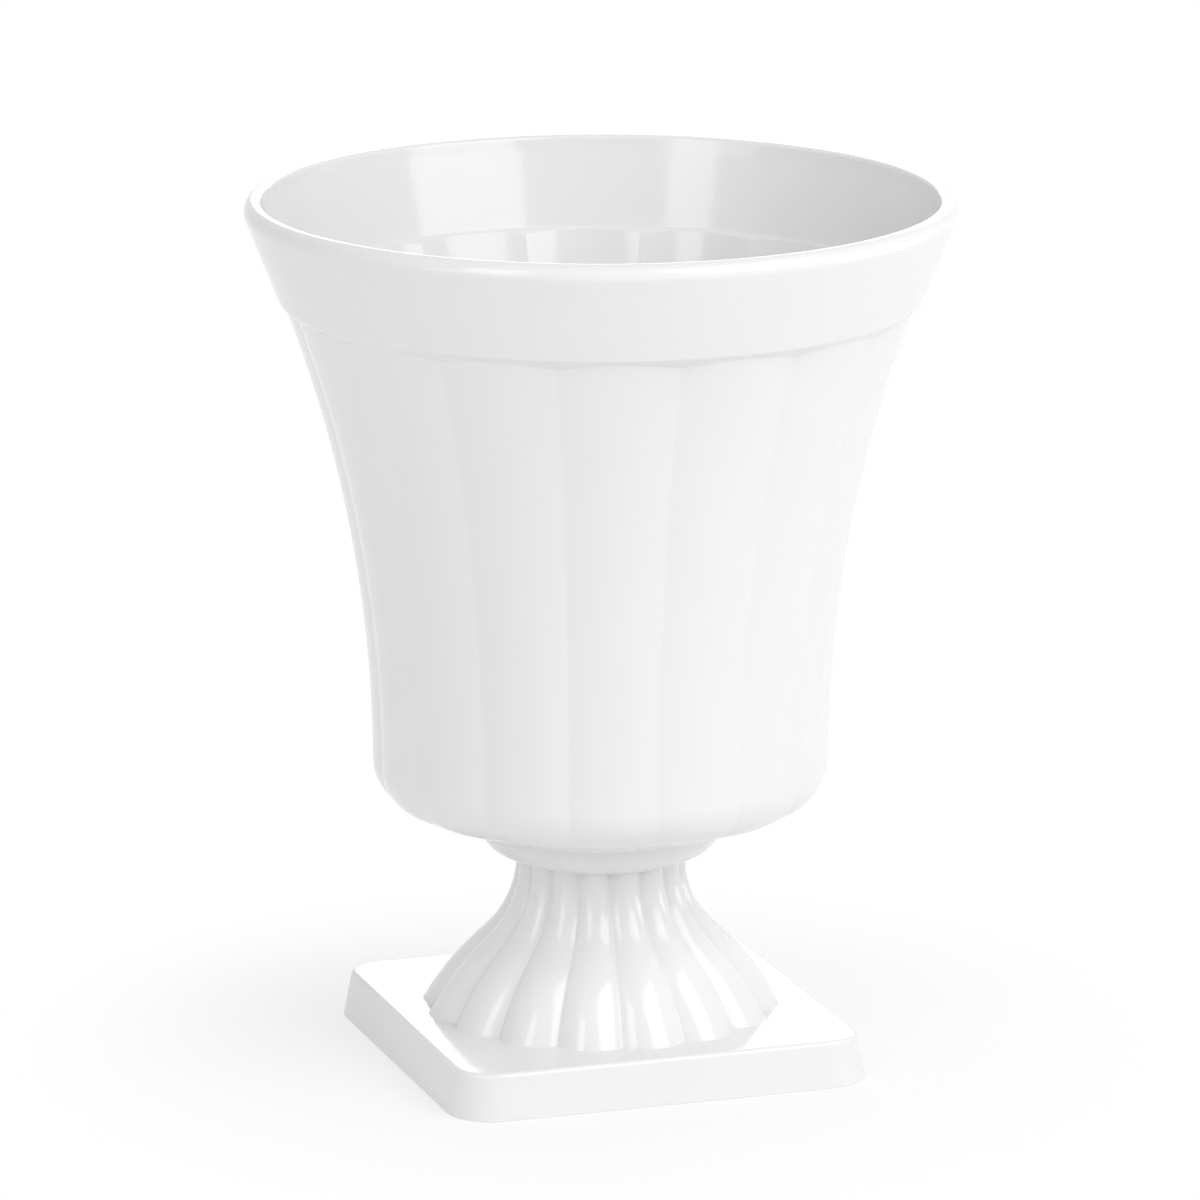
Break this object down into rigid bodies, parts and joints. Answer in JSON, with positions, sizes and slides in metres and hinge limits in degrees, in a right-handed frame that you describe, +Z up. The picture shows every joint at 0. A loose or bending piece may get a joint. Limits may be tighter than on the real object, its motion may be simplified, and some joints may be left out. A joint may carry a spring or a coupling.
{
  "type": "urn planter",
  "caption": "Glossy white moulded urn planter with a fluted bowl and flared rim band on a reeded pedestal with a square plinth",
  "frame": {"origin": "middle of the square plinth at floor level, on the urn's own axis", "axes": "+Z up along the urn's axis; +X and +Y at right angles to two sides of the plinth, with -Y the side that the picture shows on the right"},
  "size_m": [0.3046, 0.3046, 0.3775],
  "materials": {
    "white_plastic": "smooth glossy white moulding",
    "plug_plastic": "soft matt off-white stopper",
    "black_rubber": "plain matt seal",
    "zinc_steel": "bright zinc-plated"
  },
  "bodies": {
    "urn": {"bowl": "white_plastic", "pedestal": "white_plastic", "sealing_washer": "black_rubber", "centre_bolt": "zinc_steel", "nut_washer": "zinc_steel", "wing_nut": "zinc_steel"},
    "plug_1": {"drain_plug_1": "plug_plastic"},
    "plug_2": {"drain_plug_2": "plug_plastic"},
    "plug_3": {"drain_plug_3": "plug_plastic"}
  },
  "joints": [
    {"name": "pull_plug_1", "type": "slide", "parent": "urn", "child": "plug_1", "axis": [0, 0, 1], "range_m": [0, 0.03]},
    {"name": "pull_plug_2", "type": "slide", "parent": "urn", "child": "plug_2", "axis": [0, 0, 1], "range_m": [0, 0.03]},
    {"name": "pull_plug_3", "type": "slide", "parent": "urn", "child": "plug_3", "axis": [0, 0, 1], "range_m": [0, 0.03]}
  ]
}
